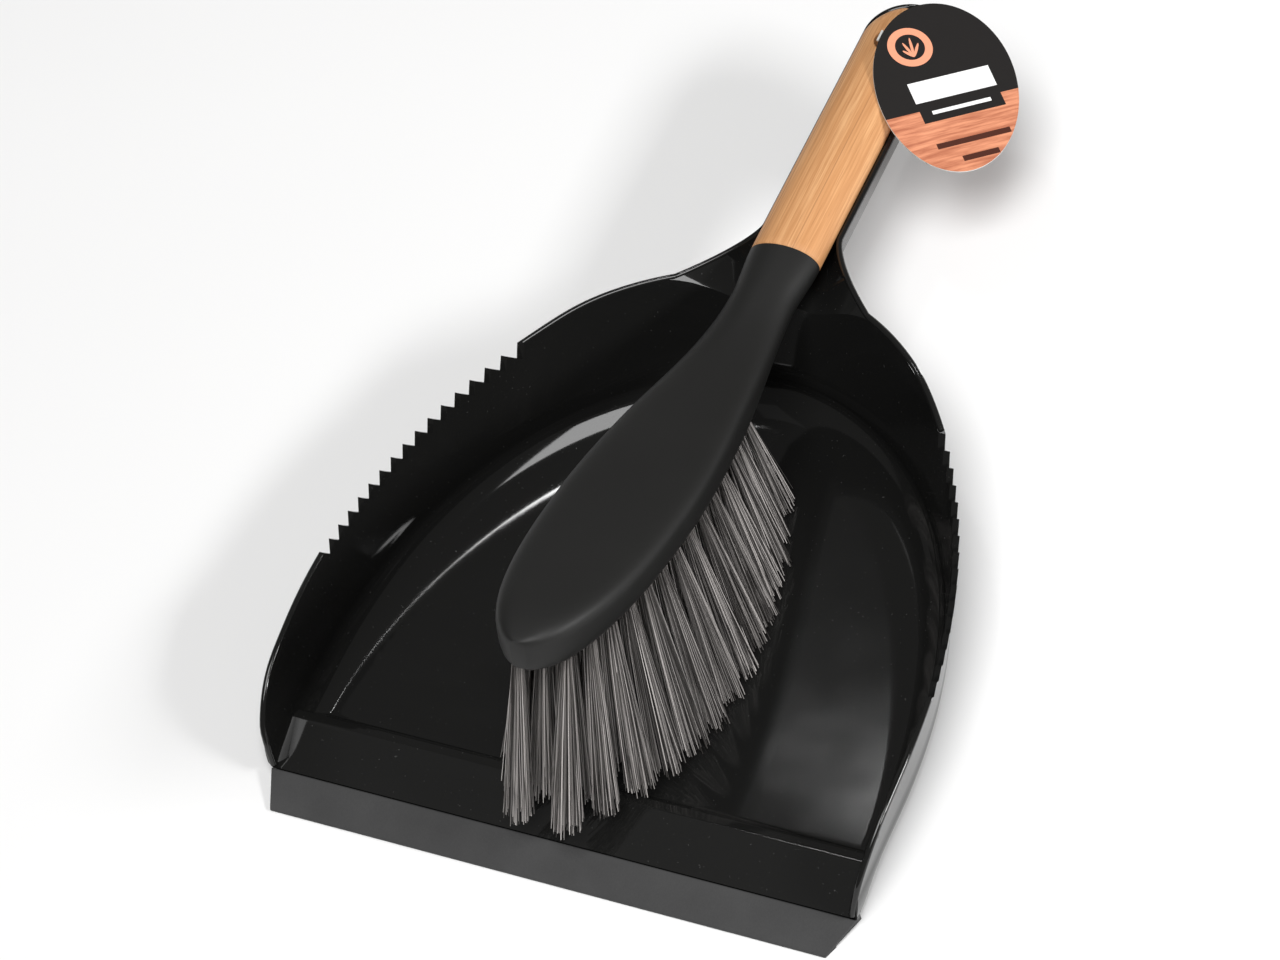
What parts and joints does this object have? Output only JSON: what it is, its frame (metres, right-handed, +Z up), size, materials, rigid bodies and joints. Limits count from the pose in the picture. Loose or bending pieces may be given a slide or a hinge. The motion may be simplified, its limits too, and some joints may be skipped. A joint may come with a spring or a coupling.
{
  "type": "dust pan and brush set",
  "caption": "Short-handled dust pan with a toothed rim, a rubber sweeping edge and a handle channel, and a hand brush with a bamboo handle that lies in the channel.",
  "frame": {"origin": "middle of the footprint, on the floor under the pan", "axes": "+Y from the sweeping edge towards the hanging end of the handle, +Z up, +X to the right of someone who looks along +Y"},
  "size_m": [0.2468, 0.38, 0.0975],
  "materials": {
    "pan_plastic": "glossy black moulded polypropylene",
    "lip_rubber": "matt dark grey soft rubber",
    "block_plastic": "matt black moulded plastic",
    "soft_touch_cover": "matt black soft-touch overmould",
    "bamboo": "oiled laminated bamboo, grain along the handle",
    "screw_steel": "zinc plated",
    "bristle": "light grey synthetic filament",
    "clear_nylon": "pale nylon tag pin",
    "printed_card": "printed card, black above and pale wood pattern below"
  },
  "bodies": {
    "pan": {"pan_shell": "pan_plastic", "rubber_lip": "lip_rubber"},
    "brush": {"brush_block": "block_plastic", "soft_cover": "soft_touch_cover", "bamboo_handle": "bamboo", "handle_screw": "screw_steel", "tag_pin": "clear_nylon", "tuft_row1_01": "bristle", "tuft_row1_02": "bristle", "tuft_row1_03": "bristle", "tuft_row1_04": "bristle", "tuft_row1_05": "bristle", "tuft_row1_06": "bristle", "tuft_row1_07": "bristle", "tuft_row1_08": "bristle", "tuft_row1_09": "bristle", "tuft_row1_10": "bristle", "tuft_row1_11": "bristle", "tuft_row1_12": "bristle", "tuft_row1_13": "bristle", "tuft_row1_14": "bristle", "tuft_row2_01": "bristle", "tuft_row2_02": "bristle", "tuft_row2_03": "bristle", "tuft_row2_04": "bristle", "tuft_row2_05": "bristle", "tuft_row2_06": "bristle", "tuft_row2_07": "bristle", "tuft_row2_08": "bristle", "tuft_row2_09": "bristle", "tuft_row2_10": "bristle", "tuft_row2_11": "bristle", "tuft_row2_12": "bristle", "tuft_row3_01": "bristle", "tuft_row3_02": "bristle", "tuft_row3_03": "bristle", "tuft_row3_04": "bristle", "tuft_row3_05": "bristle", "tuft_row3_06": "bristle", "tuft_row3_07": "bristle", "tuft_row3_08": "bristle", "tuft_row3_09": "bristle", "tuft_row3_10": "bristle", "tuft_row3_11": "bristle", "tuft_row3_12": "bristle", "tuft_row4_01": "bristle", "tuft_row4_02": "bristle", "tuft_row4_03": "bristle", "tuft_row4_04": "bristle", "tuft_row4_05": "bristle", "tuft_row4_06": "bristle", "tuft_row4_07": "bristle", "tuft_row4_08": "bristle", "tuft_row4_09": "bristle", "tuft_row4_10": "bristle", "tuft_row4_11": "bristle", "tuft_row4_12": "bristle", "tuft_row4_13": "bristle", "tuft_row4_14": "bristle"},
    "tag": {"hang_tag": "printed_card"}
  },
  "joints": [
    {"name": "brush_lift", "type": "slide", "parent": "pan", "child": "brush", "axis": [0, 0, 1], "range_m": [0, 0.15]},
    {"name": "tag_swing", "type": "hinge", "parent": "brush", "child": "tag", "pos_m": [-0.002, 0.16, 0.0615], "axis": [0, 1, 0], "range_deg": [-90, 0]}
  ]
}
